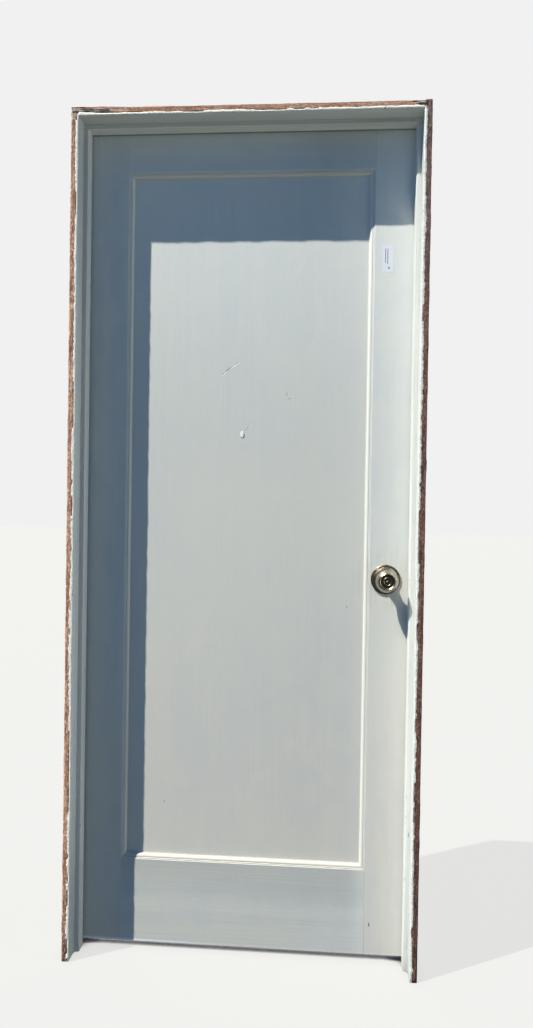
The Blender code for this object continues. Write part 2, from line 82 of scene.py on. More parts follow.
class Tone:
    # wraps one socket, so that sums on it add Math nodes
    def __init__(self, tree, socket):
        self.tree = tree
        self.socket = socket

    def __add__(self, other):
        return self.tree.sum("ADD", self, other)

    def __sub__(self, other):
        return self.tree.sum("SUBTRACT", self, other)

    def __rsub__(self, other):
        return self.tree.sum("SUBTRACT", other, self)

    def __mul__(self, other):
        return self.tree.sum("MULTIPLY", self, other)

    def __pow__(self, other):
        return self.tree.sum("POWER", self, other)

    def __abs__(self):
        return self.tree.sum("ABSOLUTE", self, 0.0)

    def __gt__(self, other):
        return self.tree.sum("GREATER_THAN", self, other)

    def __lt__(self, other):
        return self.tree.sum("LESS_THAN", self, other)

    __radd__ = __add__
    __rmul__ = __mul__


class NodeTree:
    # adds nodes to one tree, for a finish or for the light all round
    def __init__(self, tree):
        self.tree = tree
        tree.nodes.clear()

    def node(self, kind, settings, values, output=0):
        made = self.tree.nodes.new("ShaderNode" + kind)
        for name, setting in settings.items():
            if name == "stops":
                ramp = made.color_ramp
                for position, colour in setting[2:]:
                    ramp.elements.new(position)
                for stop, (position, colour) in zip(ramp.elements, setting):
                    stop.position = position
                    stop.color = opaque(colour)
            else:
                setattr(made, name, setting)
        for name, value in values.items():
            if isinstance(value, Tone):
                self.tree.links.new(value.socket, made.inputs[name])
            else:
                made.inputs[name].default_value = value
        return Tone(self, made.outputs[output]) if made.outputs else None

    def sum(self, operation, first, second):
        return self.node("Math", {"operation": operation}, {0: first, 1: second})

    def smooth(self, value, low, high, kind="SMOOTHSTEP"):
        # 0 at low and 1 at high, with soft ends
        values = {"Value": value, "From Min": low, "From Max": high}
        return self.node("MapRange", {"interpolation_type": kind}, values)

    def fall(self, value, low, high):
        # 1 at low and 0 at high
        return 1.0 - self.smooth(value, low, high)

    def even(self, value, low, high):
        return self.smooth(value, low, high, "LINEAR")

    def parts(self, vector):
        split = self.node("SeparateXYZ", {}, {"Vector": vector}).socket.node
        return [Tone(self, socket) for socket in split.outputs]

    def blend(self, factor, low, high, kind="MIX"):
        # low where factor is 0 and high where it is 1, each a colour or another node's
        low, high = [tone if isinstance(tone, Tone) else opaque(tone) for tone in (low, high)]
        settings = {"data_type": "RGBA", "blend_type": kind}
        return self.node("Mix", settings, {0: factor, 6: low, 7: high}, 2)

    def over(self, colour, *coats):
        # each coat is its mask and its tone
        for mask, tone in coats:
            colour = self.blend(mask, colour, tone)
        return colour

    def dusk(self, colour, factor):
        # colour made darker by a factor, kept as a colour
        return self.node("VectorMath", {"operation": "SCALE"}, {0: colour, "Scale": factor})


class Finish(NodeTree):
    # one material, with the place of each surface point, the way its grain runs and a shift of its noise
    def __init__(self, name, direction="z", shift=(0.0, 0.0, 0.0)):
        self.material = bpy.data.materials.new(name)
        self.material.use_nodes = True
        super().__init__(self.material.node_tree)
        self.direction = direction
        self.shift = shift
        self.place = self.node("TexCoord", {}, {}, "Object")
        self.x, self.y, self.z = self.parts(self.place)

    def cloud(self, scale, detail=2.0, rough=0.5, twist=0.0, shift=None):
        # noise with its own scale along x, y and z, in waves a metre
        places = {0: self.place, 1: scale, 2: shift or self.shift}
        values = {"Vector": self.node("VectorMath", {"operation": "MULTIPLY_ADD"}, places), "Scale": 1.0}
        values.update({"Detail": detail, "Roughness": rough, "Distortion": twist})
        return self.node("TexNoise", {}, values)

    def speckle(self, waves, detail=2.0, rough=0.5, twist=0.0):
        # noise that is the same every way
        return self.cloud((waves, waves, waves), detail, rough, twist)

    def grain(self, along, across, detail, rough, twist):
        # noise drawn out along the piece
        scale = [across, across, across]
        scale["xyz".index(self.direction)] = along
        return self.cloud(scale, detail, rough, twist)

    def bump(self, height, depth, under=None):
        values = {"Height": height, "Distance": depth, "Strength": 1.0}
        if under:
            values["Normal"] = under
        return self.node("Bump", {}, values)

    def dress(self, colour, roughness, normal, metallic=0.0, more=()):
        values = {"Base Color": colour, "Roughness": roughness, "Normal": normal, "Metallic": metallic}
        values.update(more)
        shader = self.node("BsdfPrincipled", {}, values)
        self.node("OutputMaterial", {}, {"Surface": shader})
        return self.material


def tint(red, green, blue):
    # a colour as a picture program shows it, 0 to 255, made linear
    return tuple(round(((part / 255 + 0.055) / 1.055) ** 2.4, 4) for part in (red, green, blue))


def opaque(colour):
    return (*colour, 1.0)


# Brushed paint on the leaf

leafPaint = {
    "white": tint(226, 228, 221),
    "rubbedHighlight": tint(244, 247, 249),
    "coolStroke": tint(219, 223, 220),
    "warmStroke": tint(230, 229, 217),
    "coolBand": tint(202, 210, 209),
    "grime": tint(150, 140, 122),
    "scratch": tint(70, 66, 60),
    "bareWood": tint(176, 134, 96),
    "darkWood": tint(128, 88, 56),
    "bounceWarmth": (0.96, 0.915, 0.88),
    "joinWidth": 0.045,
    "underMouldingReach": 0.15,
    "handReach": 0.0922,
    "stopShade": 0.45,
    "strokeDepth": 0.00035,
    "peel": 0.00012,
}


def brushStrokes(coat):
    # broad laps, brush marks and bristle lines, each from 0 to 1
    laps = coat.grain(1.3, 26.0, 2.0, 0.5, 0.3)
    marks = coat.grain(4.0, 170.0, 3.0, 0.55, 0.2)
    bristles = coat.grain(9.0, 900.0, 2.0, 0.6, 0.0)
    return laps, marks, bristles


def lineMask(coat, ends, halfWidth, sway=0.0):
    # 1 on a line between two points (x, z), fading over its half width
    (startX, startZ), (endX, endZ) = ends
    length = math.hypot(endX - startX, endZ - startZ)
    slopeX = (endX - startX) / length
    slopeZ = (endZ - startZ) / length
    awayX = coat.x - startX
    awayZ = coat.z - startZ
    if sway:
        awayZ = awayZ + sway
    along = awayX * slopeX + awayZ * slopeZ
    aside = abs(awayX * slopeZ - awayZ * slopeX)
    fade = 0.002
    begun = coat.smooth(along, -fade, fade)
    ended = coat.smooth(along, length - fade, length + fade)
    return begun * (1.0 - ended) * coat.fall(aside, halfWidth * 0.4, halfWidth)


def leafFinish(name, direction, shift, dull, warm=0.0, cool=0.0, meeting=0.0, shelf=0.0, bounceWarmthShare=1.0,
               scratches=()):
    # dull gives how much darker the paint is at the top and low down, as painted shade; a negative share
    # lightens it as painted light
    coat = Finish(name, direction, shift)
    laps, marks, bristles = brushStrokes(coat)
    broad = coat.cloud((2.2, 2.2, 1.4), 2.0, 0.5, 0.4)
    patches = coat.cloud((11.0, 11.0, 8.0), 4.0, 0.6, 0.8)
    strokes = coat.smooth(laps * 0.25 + marks * 0.2 + patches * 0.55, 0.36, 0.64)
    colour = coat.blend(strokes, leafPaint["white"], leafPaint["coolStroke"])
    colour = coat.blend(coat.smooth(broad, 0.4, 0.7) * 0.5, colour, leafPaint["warmStroke"])
    if warm:
        colour = coat.blend(warm, colour, leafPaint["warmStroke"])
    if cool:
        # painted shade: a cooler, bluer band on the pieces that stand in shade and on the bottom rail
        coolBand = (0.4 + coat.smooth(laps * 0.6 + patches * 0.4, 0.40, 0.66) * 0.6) * cool
        colour = coat.blend(coolBand, colour, leafPaint["coolBand"])

    # painted shade: darker by one share at the top and by another below 60 percent of the height
    topShading, footShading = dull
    aged = coat.fall(coat.z, lockStileHigh.z * 0.60, lockStileHigh.z * 0.96)
    if meeting:
        # a rail's paint comes nearer to the lock stile's tone beside the joint, with less painted shade
        joined = coat.smooth(coat.x, lockStileLow.x - leafPaint["joinWidth"], lockStileLow.x)
        aged = aged * (1.0 - joined * meeting)
    colour = coat.dusk(colour, 1.0 - topShading - aged * (footShading - topShading))
    # painted warm light bounced up from the ground: the paint turns warmer towards the foot
    bounceWarmthMask = coat.fall(coat.z, 0.2, 1.3) * bounceWarmthShare
    colour = coat.blend(bounceWarmthMask, colour, leafPaint["bounceWarmth"], "MULTIPLY")
    # painted shade where the head stop overlaps the leaf's face
    behindStop = coat.smooth(coat.z, headStopLow.z - 0.0004, headStopLow.z + 0.0008)
    onFront = coat.y < leafFront + 0.001
    colour = coat.dusk(colour, 1.0 - behindStop * onFront * leafPaint["stopShade"])
    if shelf:
        # darker towards the top of the bottom rail, under the panel's lower moulding
        underMoulding = coat.smooth(coat.z, bottomRailHigh.z - leafPaint["underMouldingReach"], bottomRailHigh.z) * shelf
        colour = coat.dusk(colour, 1.0 - underMoulding * (1.0 - joined * 0.6))
    # the foot's arris is rubbed and carries a painted highlight, most of it on the hinge side
    rubbedHighlight = coat.fall(coat.z, leafFoot + 0.003, leafFoot + 0.0065)
    rubbedHighlight = rubbedHighlight * (0.9 - coat.smooth(coat.x, 0.14, 0.42) * 0.75)
    colour = coat.blend(rubbedHighlight, colour, leafPaint["rubbedHighlight"])

    # grime low down, round the knob and in small specks
    low = coat.fall(coat.z, 0.02, 0.16) * coat.smooth(broad, 0.3, 0.7) * 0.12
    away = (coat.x - knobX) ** 2.0 + (coat.z - knobZ) ** 2.0
    touched = coat.fall(away, 0.0, leafPaint["handReach"] ** 2)
    hand = touched * coat.smooth(marks, 0.3, 0.7) * 0.22
    specks = coat.smooth(coat.cloud((210.0, 210.0, 160.0), 1.0), 0.79, 0.84) * 0.5
    colour = coat.blend(low + hand + specks, colour, leafPaint["grime"])
    height = marks * 0.6 + bristles * 0.25 + laps * 0.5
    for ends, halfWidth, dark in scratches:
        ends = [(leafHinge + fromHinge, leafFoot + fromFoot) for fromHinge, fromFoot in ends]
        line = lineMask(coat, ends, halfWidth)
        colour = coat.blend(line * dark, colour, leafPaint["scratch"])
        height = height - line * 1.4

    # the sawn top and foot of the leaf were never painted
    sawn = (coat.z > lockStileHigh.z - 0.0002) + (coat.z < lockStileLow.z + 0.0002)
    rings = coat.cloud((60.0, 260.0, 60.0), 3.0, 0.6, 0.6)
    wood = coat.blend(rings, leafPaint["bareWood"], leafPaint["darkWood"])
    colour = coat.blend(sawn, colour, wood)
    normal = coat.bump(height, leafPaint["strokeDepth"])
    normal = coat.bump(coat.speckle(620.0), leafPaint["peel"], normal)
    roughness = 0.42 + strokes * 0.12 + coat.smooth(broad, 0.35, 0.7) * 0.1 + sawn * 0.3
    return coat.dress(colour, roughness, normal)


# Old paint and raw wood on the jambs

jambPaint = {
    "white": tint(217, 219, 214),
    "stopWhite": tint(221, 223, 218),
    "dull": tint(205, 208, 203),
    "chip": tint(142, 134, 124),
    "reach": 0.0034,
    "ragged": 0.0088,
}

# Marks on the head's raw edge: ends from the hinge side and up from the soffit, half width, kind, strength
headStreaks = [
    (((-0.002, 0.0196), (0.034, 0.0184)), 0.0026, "crack", 1.0),
    (((0.028, 0.0180), (0.058, 0.0168)), 0.0020, "crack", 0.80),
    (((0.004, 0.0142), (0.062, 0.0128)), 0.0030, "plaster", 1.0),
    (((0.003, 0.0088), (0.048, 0.0076)), 0.0030, "crack", 1.0),
    (((0.060, 0.0070), (0.092, 0.0064)), 0.0018, "crack", 0.95),
    (((0.056, 0.0122), (0.130, 0.0104)), 0.0026, "plaster", 0.50),
    (((0.052, 0.0180), (0.170, 0.0174)), 0.0030, "soot", 0.60),
]
farEnd = headHigh.x - hingeJambLow.x
farStreaks = [
    (((farEnd - 0.034, 0.0144), (farEnd + 0.004, 0.0150)), 0.0026, "crack", 1.0),
    (((farEnd + 0.0005, 0.0010), (farEnd + 0.0005, 0.0160)), 0.0026, "crack", 1.0),
    (((farEnd - 0.620, 0.0172), (farEnd - 0.030, 0.0172)), 0.0034, "soot", 0.55),
]

# each jamb's dull is painted shade on its paint: all over, at the top and at the foot; a negative share is
# painted light
rawWood = {
    "hinge_jamb": {
        "tones": (tint(106, 66, 46), tint(180, 128, 96), tint(224, 186, 154)),
        "fleck": tint(232, 212, 198),
        "streaks": headStreaks[:4],
        "dull": (0.0, 0.20, 0.30),
        "shift": (4.0, 3.0, 1.0),
        "flecks": 0.75, "splits": 0.30, "plaster": 0.40, "plasterTop": 0.18, "greyTop": 0.0,
    },
    "latch_jamb": {
        "tones": (tint(50, 26, 19), tint(102, 62, 45), tint(140, 102, 82)),
        "fleck": tint(178, 160, 152),
        "streaks": farStreaks,
        "dull": (0.13, 0.0, 0.05),
        "shift": (7.0, 6.0, 3.0),
        "flecks": 0.45, "splits": 0.25, "plaster": 0.22, "plasterTop": 0.06, "greyTop": 0.42,
    },
    "head_jamb": {
        "tones": (tint(118, 76, 52), tint(178, 130, 98), tint(212, 180, 152)),
        "fleck": tint(226, 212, 202),
        "streaks": headStreaks + farStreaks,
        "dull": (-0.05, 0.0, 0.0),
        "shift": (5.0, 9.0, 2.0),
        "flecks": 0.40, "splits": 0.10, "plaster": 0.30, "plasterTop": 0.06, "greyTop": 0.0,
    },
}

woodMarks = {
    "crack": tint(26, 22, 24),
    "plaster": tint(224, 212, 196),
    "soot": tint(96, 80, 84),
    "grey": tint(122, 106, 104),
    "wallLift": 1.6,
}


def bareTimber(coat, look, wornEnds):
    # long grain, torn fibres, dark splits and smears of plaster: its colour and its height
    dark, middle, light = look["tones"]
    grain = coat.grain(9.0, 210.0, 4.0, 0.62, 0.8)
    patches = coat.grain(14.0, 60.0, 4.0, 0.6, 0.6)
    fine = coat.grain(170.0, 330.0, 2.0, 0.6, 0.4)
    tone = coat.smooth(grain * 0.35 + patches * 0.35 + fine * 0.3, 0.34, 0.66)
    stops = [(0.0, dark), (0.5, middle), (1.0, light)]
    timber = coat.node("ValToRGB", {"stops": stops}, {"Fac": tone})
    greyed = coat.smooth(coat.z, 1.45, 2.0) * look["greyTop"]
    soot = coat.smooth(coat.grain(24.0, 90.0, 3.0, 0.6, 0.5), 0.58, 0.70)

    # torn fibre ends: light flecks and the dark hollows between them
    torn = coat.grain(150.0, 260.0, 3.0, 0.6, 0.7)
    hollows = coat.fall(torn, 0.36, 0.44) * 0.75
    flecks = coat.smooth(torn, 0.55, 0.63) * look["flecks"]
    timber = coat.over(timber, (greyed, woodMarks["grey"]), (soot * 0.45, woodMarks["soot"]),
                       (hollows, dark), (flecks, look["fleck"]))
    splits = coat.grain(6.0, 250.0, 3.0, 0.7, 1.5)
    oldEnd, plasterEnd = wornEnds(coat)
    aged = splits + look["splits"] * 0.12 + oldEnd * 0.15
    splitMask = coat.smooth(aged, 0.69, 0.73)
    smear = coat.grain(60.0, 190.0, 4.0, 0.7, 0.8)
    smear = smear + look["plaster"] * 0.12 + plasterEnd * look["plasterTop"]
    smearMask = coat.smooth(smear, 0.69, 0.73)
    timber = coat.over(timber, (splitMask * 0.92, woodMarks["crack"]),
                       (smearMask * 0.85, woodMarks["plaster"]))
    height = grain * 0.7 + torn * 1.6 + patches - splitMask * 2.2 + smearMask * 1.6
    sway = (coat.speckle(60.0, 3.0, 0.6) - 0.5) * 0.0030
    for ends, halfWidth, kind, strength in look["streaks"]:
        ends = [(hingeJambLow.x + aside, soffit + rise) for aside, rise in ends]
        streak = lineMask(coat, ends, halfWidth, sway) * coat.smooth(torn, 0.26, 0.40)
        timber = coat.blend(streak * strength, timber, woodMarks[kind])
        if kind == "crack":
            height = height - streak * 1.5
    return timber, height


def jambFinish(name, direction, reveal, look, wornEnds):
    # the paint reaches a little way in from the reveal and ends in a torn line
    coat = Finish(name, direction, look["shift"])
    laps, marks, bristles = brushStrokes(coat)
    strokes = coat.smooth(laps * 0.5 + marks * 0.5, 0.36, 0.64)
    paint = coat.blend(strokes, jambPaint["white"], jambPaint["dull"])
    # painted shade: the paint is darker towards the top and the foot and by a share all over; a negative share
    # lightens it as painted light
    everywhere, top, foot = look["dull"]
    aloft = coat.smooth(coat.z, soffit - 0.9, soffit) * top
    below = coat.fall(coat.z, 0.0, 0.45) * foot
    paint = coat.dusk(paint, 1.0 - everywhere - aloft - below)
    timber, rawHeight = bareTimber(coat, look, wornEnds)
    tear = coat.grain(55.0, 200.0, 4.0, 0.65, 0.5)
    reach = jambPaint["reach"] + (tear - 0.5) * jambPaint["ragged"]
    across = coat.z if direction == "x" else coat.x
    bare = coat.smooth(abs(across - reveal) - reach, 0.0, 0.0004)
    # the latch jamb's wall face was never in the light, so its wood has stayed paler
    wallFace = coat.smooth(coat.x, latchJambHigh.x - 0.0012, latchJambHigh.x - 0.0004)
    wallFace = wallFace * coat.smooth(coat.y, frontEdge + 0.002, frontEdge + 0.006)
    timber = coat.dusk(timber, 1.0 + wallFace * woodMarks["wallLift"])
    colour = coat.blend(bare, paint, timber)
    height = (marks * 0.5 + bristles * 0.25 + laps * 0.5) * (1.0 - bare) + rawHeight * bare
    normal = coat.bump(height, 0.0008)
    normal = coat.bump(coat.speckle(900.0, 2.0, 0.6), 0.00015, normal)
    roughness = 0.46 + strokes * 0.1 + bare * 0.34
    return coat.dress(colour, roughness, normal)


def headEnds(coat):
    # split and blackened at the hinge end, a little at the other, with plaster at the hinge end
    left = coat.fall(coat.x, 0.03, 0.13) * 0.3
    right = coat.smooth(coat.x, 0.79, 0.83) * 0.4
    return left + right, coat.fall(coat.x, 0.02, 0.08)


def sideEnds(coat):
    # split at the top and foot, with plaster left at the top corner
    top = coat.smooth(coat.z, soffit - 0.18, soffit - 0.01) * 0.5
    foot = coat.fall(coat.z, 0.02, 0.32) * 0.8
    return top + foot, coat.smooth(coat.z, soffit - 0.030, soffit - 0.002)


def stopFinish(name, direction, shift, dull=0.0, worn=0.07):
    coat = Finish(name, direction, shift)
    laps, marks, bristles = brushStrokes(coat)
    strokes = coat.smooth(laps * 0.5 + marks * 0.5, 0.36, 0.64)
    colour = coat.blend(strokes, jambPaint["stopWhite"], jambPaint["dull"])
    foot = coat.fall(coat.z, 0.0, 0.05) * coat.smooth(marks, 0.35, 0.7) * 0.5
    colour = coat.blend(foot, colour, leafPaint["grime"])
    chips = coat.grain(30.0, 160.0, 4.0, 0.65, 0.3)
    wornLow = coat.fall(coat.z, 0.02, 0.90) * worn
    chipMask = coat.smooth(chips + wornLow, 0.70, 0.72)
    # painted light and shade on the stop's sides and underside: a positive dull darkens them, a negative one
    # lightens them
    onSide = coat.smooth(coat.y, hingeStopLow.y + 0.0004, hingeStopLow.y + 0.0012)
    colour = coat.dusk(colour, 1.0 - onSide * dull)
    colour = coat.blend(chipMask * 0.75, colour, jambPaint["chip"])
    height = marks * 0.6 + bristles * 0.25 + laps * 0.5 - chipMask * 0.8
    return coat.dress(colour, 0.45 + strokes * 0.1, coat.bump(height, 0.0004))


# Satin nickel and plated steel

nickel = {
    "metal": tint(180, 173, 160),
    "tarnish": tint(148, 136, 118),
    "recess": tint(112, 106, 97),
    "roughness": 0.27,
    "dishRadius": 0.0166,
    "ringOuter": 0.0104,
    "ringInner": 0.0078,
    "bossRadius": 0.0022,
}
noseReach = leafMiddle - knobLow.y


def nickelFinish(name, turned=True):
    # fine rings round the knob's axis from its polishing, and a little tarnish
    coat = Finish(name)
    awayX = coat.x - knobX
    awayZ = coat.z - knobZ
    radius = (awayX * awayX + awayZ * awayZ) ** 0.5
    height = abs(coat.y - leafMiddle)
    if turned:
        spun = coat.node("CombineXYZ", {}, {"X": radius * 2600.0, "Y": height * 2600.0, "Z": 0.0})
        rings = coat.node("TexNoise", {}, {"Vector": spun, "Scale": 1.0, "Detail": 2.0})
    else:
        rings = coat.cloud((1500.0, 1500.0, 60.0))
    smudge = coat.speckle(70.0, 3.0, 0.6, 0.8)
    tarnish = coat.smooth(smudge, 0.45, 0.75) * 0.5
    colour = coat.blend(tarnish, nickel["metal"], nickel["tarnish"])
    roughness = nickel["roughness"] + (rings - 0.5) * 0.16 + tarnish * 0.16
    if turned:
        # painted dark reflection in the dish and the well; the raised ring between them is left bright
        face = coat.smooth(height, noseReach - 0.006, noseReach - 0.005)
        dish = coat.fall(radius, nickel["dishRadius"] - 0.0006, nickel["dishRadius"] + 0.0004)
        rims = [nickel[rim] for rim in ("ringOuter", "ringInner", "bossRadius")]
        beyond, within, boss = [coat.smooth(radius, rim - 0.0004, rim + 0.0004) for rim in rims]
        dark = face * dish * (beyond + (1.0 - within) * boss)
        colour = coat.blend(dark * (0.75 + smudge * 0.4), colour, nickel["recess"])
        roughness = roughness + dark * 0.12
    return coat.dress(colour, roughness, coat.bump(rings, 0.00002), 1.0)


plated = {
    "metal": tint(176, 166, 146),
    "dull": tint(118, 104, 84),
    "paint": tint(214, 216, 206),
}


def platedFinish(name, paintShare):
    # dull plate with rubbed spots and paint that strayed over it
    coat = Finish(name)
    worn = coat.cloud((90.0, 90.0, 60.0), 4.0, 0.6, 0.6)
    fine = coat.cloud((1200.0, 1200.0, 90.0))
    dulled = coat.smooth(worn, 0.35, 0.68)
    colour = coat.blend(dulled, plated["metal"], plated["dull"])
    stray = coat.cloud((60.0, 60.0, 38.0), 4.0, 0.65, 0.5, (3.0, 7.0, 1.0))
    strayMask = coat.smooth(stray, 0.66 - paintShare * 0.2, 0.685 - paintShare * 0.2)
    colour = coat.blend(strayMask, colour, plated["paint"])
    roughness = 0.36 + (fine - 0.5) * 0.12 + dulled * 0.16 + strayMask * 0.1
    relief = coat.bump(fine * 0.2 + strayMask, 0.00012)
    return coat.dress(colour, roughness, relief, 1.0 - strayMask)


# Marks on the leaf's face: ends from its hinge edge and its foot, half width and darkness
panelScratches = [
    (((0.3397, 1.4300), (0.3599, 1.4480)), 0.0012, 0.30),
    (((0.3495, 1.4390), (0.3599, 1.4480)), 0.0014, 0.45),
    (((0.3599, 1.4480), (0.3813, 1.4615)), 0.0012, 0.24),
    (((0.4002, 1.2905), (0.4182, 1.3140)), 0.0009, 0.25),
    (((0.5022, 1.3790), (0.5032, 1.3870)), 0.0013, 0.35),
    (((0.5052, 1.3725), (0.5132, 1.3722)), 0.0012, 0.35),
    (((0.6587, 0.8550), (0.6603, 0.8600)), 0.0016, 0.5),
    (((0.2068, 0.3510), (0.2093, 0.3550)), 0.0016, 0.6),
]
lockStileScratches = [
    (((0.7260, 0.0690), (0.7267, 0.0770)), 0.0020, 0.75),
]

looks = {
    "hinge_stile": leafFinish("paintHingeStile", "z", (3.0, 1.0, 2.0), (0.0, 0.10), cool=0.8),
    "lock_stile": leafFinish("paintLockStile", "z", (8.0, 2.0, 5.0), (-0.04, 0.10),
                             scratches=lockStileScratches),
    "top_rail": leafFinish("paintTopRail", "x", (1.0, 4.0, 9.0), (0.0, 0.02), cool=0.4),
    "bottom_rail": leafFinish("paintBottomRail", "x", (6.0, 5.0, 4.0), (0.05, 0.15), cool=0.65,
                              meeting=0.75, shelf=0.17, bounceWarmthShare=0.25),
    "panel": leafFinish("paintPanel", "z", (2.0, 8.0, 7.0), (-0.01, 0.16), scratches=panelScratches),
    "hinge_jamb": jambFinish("hingeJambWood", "z", hingeReveal, rawWood["hinge_jamb"], sideEnds),
    "latch_jamb": jambFinish("latchJambWood", "z", latchReveal, rawWood["latch_jamb"], sideEnds),
    "head_jamb": jambFinish("headJambWood", "x", soffit, rawWood["head_jamb"], headEnds),
    "hinge_side_stop": stopFinish("stopHingeSide", "z", (2.0, 2.0, 8.0)),
    "latch_side_stop": stopFinish("stopLatchSide", "z", (9.0, 1.0, 4.0), 0.12, 0.10),
    "head_stop": stopFinish("stopHead", "x", (1.0, 7.0, 6.0), -0.16),
    "strike_plate": platedFinish("strikeSteel", 0.35),
    "latch_face_plate": nickelFinish("latchPlateNickel", False),
    "latch_bolt": nickelFinish("boltNickel", False),
    "spindle": nickelFinish("spindleNickel", False),
}
# the mouldings' dull is painted shade, strongest on the level mouldings, whose faces look up into the light
uprightMoulding = leafFinish("paintMouldingUpright", "z", (6.0, 2.0, 1.0), (0.07, 0.17), warm=0.35,
                             bounceWarmthShare=0.5)
levelMoulding = leafFinish("paintMouldingLevel", "x", (4.0, 1.0, 6.0), (0.06, 0.31), warm=0.8,
                           bounceWarmthShare=0.6)
for facing in ("front", "back"):
    for side in ("left", "right"):
        looks[facing + "_moulding_" + side] = uprightMoulding
    for side in ("top", "bottom"):
        looks[facing + "_moulding_" + side] = levelMoulding
knobNickel = nickelFinish("knobNickel")
for facing in ("front", "back"):
    looks[facing + "_knob"] = knobNickel
    looks[facing + "_rosette"] = knobNickel
hingeSteel = platedFinish("hingeSteelWorn", 0.1)
for place in ("top", "middle", "bottom"):
    for piece in ("_jamb_hinge_leaf", "_door_hinge_leaf", "_hinge_pin"):
        looks[place + piece] = hingeSteel
for name, material in looks.items():
    for materialSlot in nodes[name].material_slots:
        materialSlot.material = material
print("finishes on the frame:", len(looks))


def hold(name, data):
    # puts a mesh, lamp or camera in the scene
    holder = bpy.data.objects.new(name, data)
    bpy.context.scene.collection.objects.link(holder)
    return holder


def wave(*place):
    # smooth noise between -1 and 1 at a place
    return noise.noise(Vector(place))


def tubeFaces(first, ring, spans):
    # skin and ends of a tube, whose sections of ring corners follow each other from point first
    faces = []
    for span in range(spans):
        for corner in range(ring):
            near = first + span * ring + corner
            beside = first + span * ring + (corner + 1) % ring
            faces.append((near, beside, beside + ring, near + ring))
    last = first + spans * ring
    faces.append(tuple(reversed(range(first, first + ring))))
    faces.append(tuple(range(last, last + ring)))
    return faces


def solid(name, points, faces, material, body, roundEdges=False):
    mesh = bpy.data.meshes.new(name)
    mesh.from_pydata([tuple(point) for point in points], [], faces)
    mesh.validate()
    for face in mesh.polygons:
        face.use_smooth = roundEdges
    mesh.materials.append(material)
    piece = hold(name, mesh)
    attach(piece, body)


# Torn strips of thick old paint, left along the jambs' edges where the casing came off

tornPaint = {
    "sides": {
        "hinge_side": (3.0, (0.0076, 0.0056, 0.0), 1.0),
        "latch_side": (13.0, (0.0058, 0.0062, 0.0), 1.0),
        "head": (23.0, (0.0048, 0.0064, 0.0052), 0.6),
    },
    "step": 0.0030,
    "foot": 0.004,
    "lip": 0.0012,
    "white": tint(240, 240, 232),
    "shade": tint(196, 196, 184),
    "brown": tint(150, 112, 84),
}


def tornPaintFinish():
    coat = Finish("tornPaint")
    crumbs = coat.speckle(260.0, 4.0, 0.65, 0.4)
    colour = coat.blend(coat.smooth(crumbs, 0.4, 0.7), tornPaint["white"], tornPaint["shade"])
    dirt = coat.smooth(coat.cloud((75.0, 75.0, 45.0), 3.0, 0.6, 0.5, (2.0, 2.0, 2.0)), 0.66, 0.72)
    colour = coat.blend(dirt * 0.75, colour, tornPaint["brown"])
    return coat.dress(colour, 0.5 + crumbs * 0.2, coat.bump(crumbs, 0.0008))


def arrises(edge, outward, foot, hingeLong, latchLong, headX, headLong):
    # the opening's arrises on one face: start, along, across, outward and length
    away = (0.0, outward, 0.0)
    return {
        "hinge_side": ((hingeReveal, edge, foot), (0, 0, 1), (-1, 0, 0), away, hingeLong),
        "latch_side": ((latchReveal, edge, foot), (0, 0, 1), (1, 0, 0), away, latchLong),
        "head": ((headX, edge, soffit), (1, 0, 0), (0, 0, 1), away, headLong),
    }


def layAlong(name, arris, profile, step, material):
    # one closed strip, from sections of points so far across the arris and so far outward
    start, along, across, outward = [Vector(value) for value in arris[:4]]
    length = arris[4]
    spans = int(length / step)
    points = []
    for index in range(spans + 1):
        run = length * index / spans
        section = profile(run, length)
        points += [start + along * run + across * aside + outward * high for aside, high in section]
    faces = tubeFaces(0, len(section), spans)
    solid(name, points, faces, material, "frame", True)


def tornStrip(name, arris, seed, breadth, rough):
    # breadth: at the start, at the end, and what the first 50 mm have more
    def profile(run, length):
        ragged = wave(run * 70.0, seed + 9.0, 1.5) * 0.5 + wave(run * 310.0, seed + 14.0, 2.5) * 0.7
        width = breadth[0] + (breadth[1] - breadth[0]) * run / length
        width += breadth[2] * max(0.0, 1.0 - run / 0.05)
        width *= 1.0 + (0.34 * wave(run * 9.0, seed, 0.5) + 0.50 * ragged) * rough
        if wave(run * 16.0, seed + 21.0, 4.5) > 0.30:
            width *= 0.40
        lip = max(0.0004, tornPaint["lip"] * (0.75 + 0.9 * wave(run * 45.0, seed + 3.0, 2.5)))
        lift = 0.0003 + 0.0003 * abs(wave(run * 110.0, seed + 5.0, 3.5))
        taper = min(1.0, run / 0.006, (length - run) / 0.006) * 0.9 + 0.1
        section = [
            (-0.0002, -0.0016), (-0.0003, 0.0001), (0.0002, lip * 0.85), (width * 0.22, lip + lift * 0.5),
            (width * 0.5, lip * 0.94 + lift), (width * 0.8, lip * 0.88), (width * 0.98, lip * 0.76),
            (width, -0.0004), (0.0014, -0.0005), (0.0004, -0.0016),
        ]
        return [(aside * taper, min(high, high * taper)) for aside, high in section]

    layAlong(name, arris, profile, tornPaint["step"], tornWhite)


tornWhite = tornPaintFinish()
upright = soffit - 0.002
level = latchReveal - hingeReveal + 0.008
jambEdges = (("front", frontEdge, -1.0), ("back", backEdge, 1.0))
for facing, edge, outward in jambEdges:
    lines = arrises(edge, outward, tornPaint["foot"], upright, upright, hingeReveal - 0.004, level)
    for side, (seed, breadth, rough) in tornPaint["sides"].items():
        tornStrip(facing + "_torn_paint_" + side, lines[side], seed + outward, breadth, rough)
print("torn paint strips laid")


# Rough raw edges: torn fibre that stands a little proud and past the outer arris

